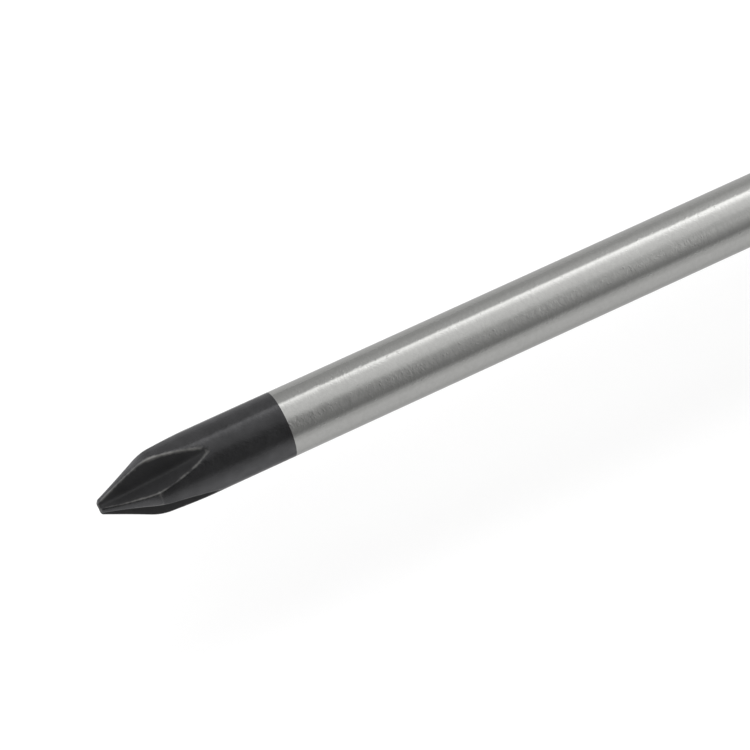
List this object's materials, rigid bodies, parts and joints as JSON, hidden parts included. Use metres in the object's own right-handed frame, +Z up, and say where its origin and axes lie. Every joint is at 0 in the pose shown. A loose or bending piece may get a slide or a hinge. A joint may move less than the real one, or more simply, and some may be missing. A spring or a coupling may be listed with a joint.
{
  "type": "cross-head screwdriver",
  "caption": "Hand screwdriver with a blackened cross point, a round satin shank, and a waisted handle with soft grip panels, an anti-roll collar and a hang hole.",
  "frame": {"origin": "on the table below the middle of the tool's length", "axes": "+X along the shank from the point to the butt, +Z up with the tool lying on one flat of its collar"},
  "size_m": [0.18, 0.0274, 0.0246],
  "materials": {
    "satin_chrome": "satin chrome over circumferential grinding; the point is blackened",
    "core_plastic": "as moulded, hidden",
    "hard_plastic": "fine spark-eroded satin",
    "soft_rubber": "soft touch, matt",
    "marker_plastic": "smooth satin"
  },
  "bodies": {
    "root": {"blade": "satin_chrome", "tang_core": "core_plastic", "handle_body": "hard_plastic", "waist_sleeve": "soft_rubber", "grip_panel_1": "soft_rubber", "grip_panel_2": "soft_rubber", "grip_panel_3": "soft_rubber", "grip_panel_4": "soft_rubber", "grip_panel_5": "soft_rubber", "grip_panel_6": "soft_rubber", "end_cap": "hard_plastic", "marker_disc": "marker_plastic"}
  },
  "joints": []
}
